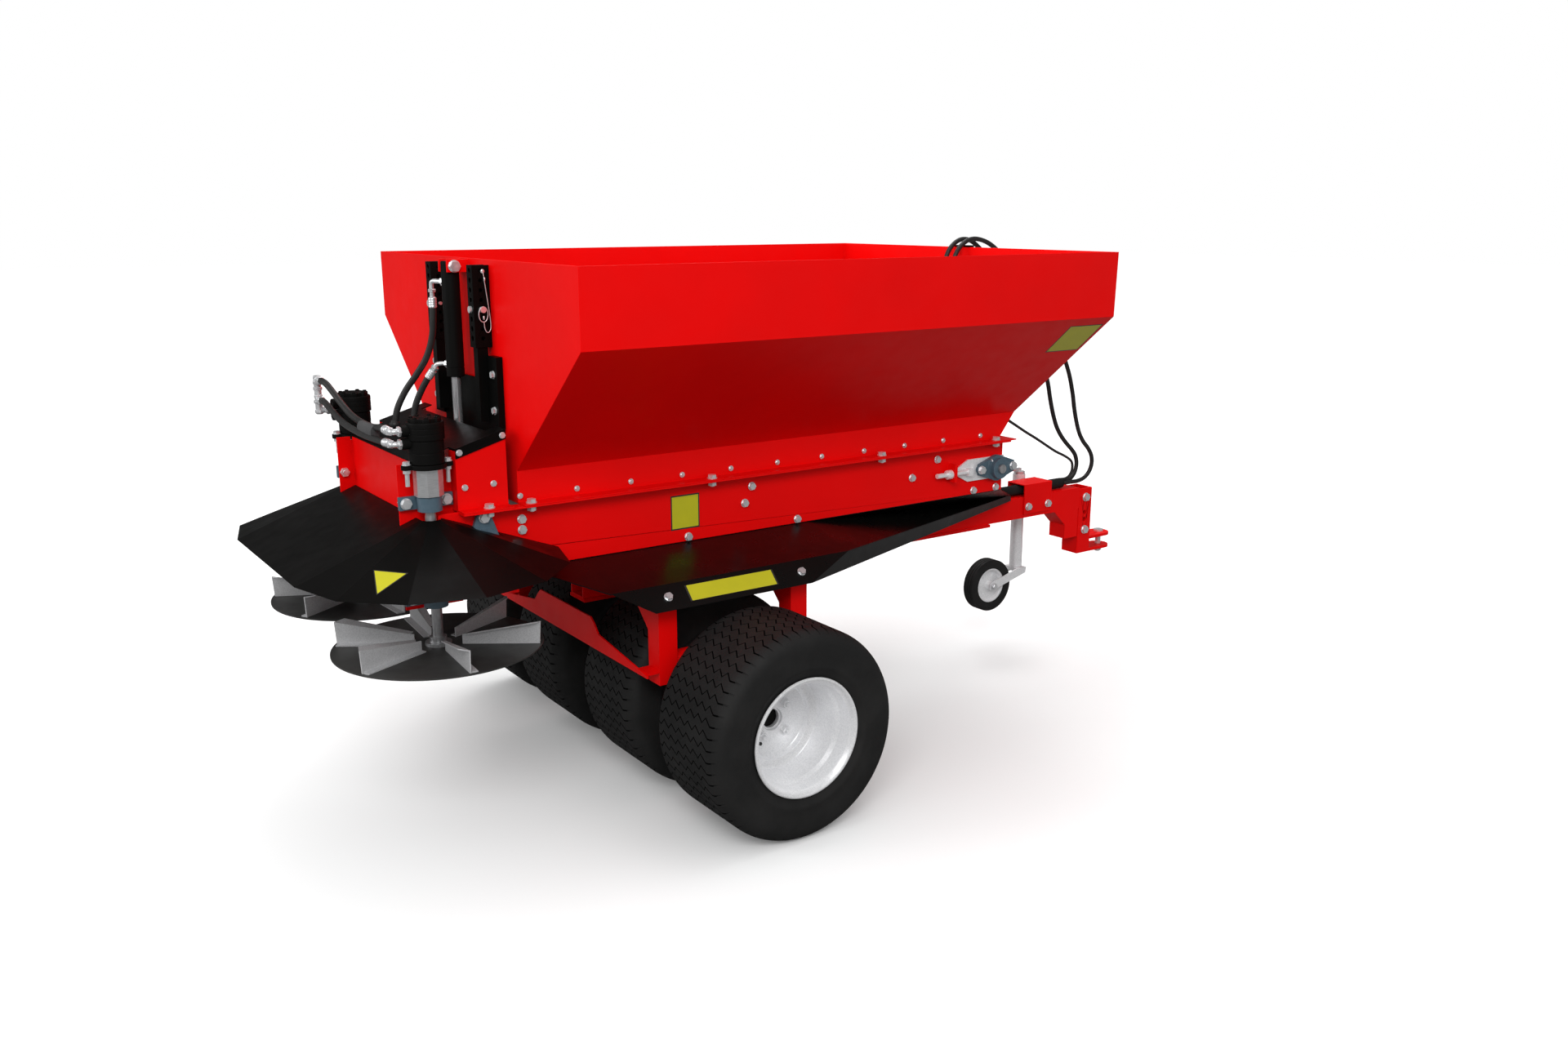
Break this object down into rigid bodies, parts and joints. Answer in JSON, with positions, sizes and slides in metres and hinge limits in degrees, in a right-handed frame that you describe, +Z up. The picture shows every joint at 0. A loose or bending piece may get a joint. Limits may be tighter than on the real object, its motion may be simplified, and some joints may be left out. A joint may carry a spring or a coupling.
{
  "type": "towed garden spreader",
  "caption": "Towed turf and garden spreader: sheet-metal hopper, conveyor belt, twin spinning discs under a hood, swinging axles with wide tyres, drawbar and jockey wheel.",
  "frame": {"origin": "on the ground below the middle of the overall length and width, hoses left out", "axes": "+X forwards towards the hitch, +Y to the left of the machine, +Z up"},
  "size_m": [3.222, 1.671, 1.5659],
  "materials": {
    "red_paint": "glossy red powder coat",
    "black_paint": "semi-gloss black powder coat",
    "zinc_steel": "galvanised or zinc-plated steel",
    "plain_steel": "machined steel",
    "chrome_rod": "hard chrome",
    "cast_blue": "blue-grey paint over cast iron",
    "tyre_rubber": "matt black rubber",
    "belt_rubber": "matt rubber belting",
    "hose_rubber": "satin black hose cover"
  },
  "bodies": {
    "chassis": {"hopper": "red_paint", "hopper_screws": "zinc_steel", "hex_bolts": "zinc_steel", "chassis_sides": "red_paint", "belt_bed": "plain_steel", "conveyor_belt": "belt_rubber", "belt_bearings": "cast_blue", "belt_tensioners": "zinc_steel", "belt_motor": "black_paint", "belt_guards": "black_paint", "chute_box": "red_paint", "chute_cover": "black_paint", "spinner_hood": "black_paint", "gate_rails": "black_paint", "gate_guides": "black_paint", "gate_pins": "zinc_steel", "cylinder_barrel": "black_paint", "spinner_motors": "black_paint", "motor_spacers": "zinc_steel", "spinner_bearings": "cast_blue", "axle_frame": "red_paint", "pivot_pins": "plain_steel", "drawbar": "red_paint", "hose_saddle": "red_paint", "hitch_post": "red_paint", "hitch_clevis": "red_paint", "hitch_pin": "zinc_steel", "jockey_tube": "zinc_steel", "hose_sleeve": "hose_rubber", "hose_holder": "black_paint", "hydraulic_hoses": "hose_rubber", "supply_hose": "hose_rubber", "return_hose": "hose_rubber", "drain_hose": "hose_rubber", "hose_couplings": "zinc_steel"},
    "gate": {"gate_plate": "black_paint", "cylinder_rod": "chrome_rod"},
    "spinner_right": {"spinner_shaft_right": "zinc_steel", "spinner_disc_right": "black_paint", "spinner_vanes_right": "zinc_steel"},
    "spinner_left": {"spinner_shaft_left": "zinc_steel", "spinner_disc_left": "black_paint", "spinner_vanes_left": "zinc_steel"},
    "drive_roller": {"drive_roller": "plain_steel"},
    "tension_roller": {"tension_roller": "plain_steel"},
    "axle_right": {"axle_beam_right": "red_paint"},
    "axle_left": {"axle_beam_left": "red_paint"},
    "wheel_right_outer": {"tyre_right_outer": "tyre_rubber", "rim_right_outer": "zinc_steel"},
    "wheel_right_inner": {"tyre_right_inner": "tyre_rubber", "rim_right_inner": "zinc_steel"},
    "wheel_left_inner": {"tyre_left_inner": "tyre_rubber", "rim_left_inner": "zinc_steel"},
    "wheel_left_outer": {"tyre_left_outer": "tyre_rubber", "rim_left_outer": "zinc_steel"},
    "jockey_crank": {"jockey_crank": "zinc_steel"},
    "jockey_leg": {"jockey_leg": "zinc_steel"},
    "jockey_fork": {"jockey_fork": "zinc_steel"},
    "jockey_wheel": {"jockey_tyre": "tyre_rubber", "jockey_rim": "zinc_steel"}
  },
  "joints": [
    {"name": "gate_slide", "type": "slide", "parent": "chassis", "child": "gate", "axis": [0, 0, 1], "range_m": [0, 0.085]},
    {"name": "spinner_right_spin", "type": "hinge", "parent": "chassis", "child": "spinner_right", "pos_m": [-1.264, -0.286, 0.6], "axis": [0, 0, 1], "continuous": true},
    {"name": "spinner_left_spin", "type": "hinge", "parent": "chassis", "child": "spinner_left", "pos_m": [-1.264, 0.286, 0.6], "axis": [0, 0, 1], "continuous": true},
    {"name": "drive_roller_spin", "type": "hinge", "parent": "chassis", "child": "drive_roller", "pos_m": [-1.129, 0, 0.812], "axis": [0, 1, 0], "continuous": true},
    {"name": "tension_roller_spin", "type": "hinge", "parent": "chassis", "child": "tension_roller", "pos_m": [0.693, 0, 0.812], "axis": [0, 1, 0], "continuous": true},
    {"name": "axle_right_swing", "type": "hinge", "parent": "chassis", "child": "axle_right", "pos_m": [-0.474, -0.4585, 0.44], "axis": [1, 0, 0], "range_deg": [-8, 8]},
    {"name": "axle_left_swing", "type": "hinge", "parent": "chassis", "child": "axle_left", "pos_m": [-0.474, 0.4585, 0.44], "axis": [1, 0, 0], "range_deg": [-8, 8]},
    {"name": "wheel_right_outer_spin", "type": "hinge", "parent": "axle_right", "child": "wheel_right_outer", "pos_m": [-0.474, -0.6805, 0.2955], "axis": [0, 1, 0], "continuous": true},
    {"name": "wheel_right_inner_spin", "type": "hinge", "parent": "axle_right", "child": "wheel_right_inner", "pos_m": [-0.474, -0.2365, 0.2955], "axis": [0, 1, 0], "continuous": true},
    {"name": "wheel_left_outer_spin", "type": "hinge", "parent": "axle_left", "child": "wheel_left_outer", "pos_m": [-0.474, 0.6805, 0.2955], "axis": [0, 1, 0], "continuous": true},
    {"name": "wheel_left_inner_spin", "type": "hinge", "parent": "axle_left", "child": "wheel_left_inner", "pos_m": [-0.474, 0.2365, 0.2955], "axis": [0, 1, 0], "continuous": true},
    {"name": "jockey_crank_turn", "type": "hinge", "parent": "chassis", "child": "jockey_crank", "pos_m": [1.19, 0.076, 0.69], "axis": [0, 0, 1], "range_deg": [0, 7200]},
    {"name": "jockey_leg_slide", "type": "slide", "parent": "chassis", "child": "jockey_leg", "axis": [0, 0, -1], "range_m": [0, 0.2001]},
    {"name": "jockey_swivel", "type": "hinge", "parent": "jockey_leg", "child": "jockey_fork", "pos_m": [1.19, 0.076, 0.3], "axis": [0, 0, 1], "continuous": true},
    {"name": "jockey_wheel_spin", "type": "hinge", "parent": "jockey_fork", "child": "jockey_wheel", "pos_m": [1.04, 0.076, 0.254], "axis": [0, 1, 0], "continuous": true}
  ],
  "couplings": [
    {"joint": "tension_roller_spin", "follows": "drive_roller_spin", "ratio": 1},
    {"joint": "jockey_leg_slide", "follows": "jockey_crank_turn", "m_per_rad": 0.0015915}
  ]
}
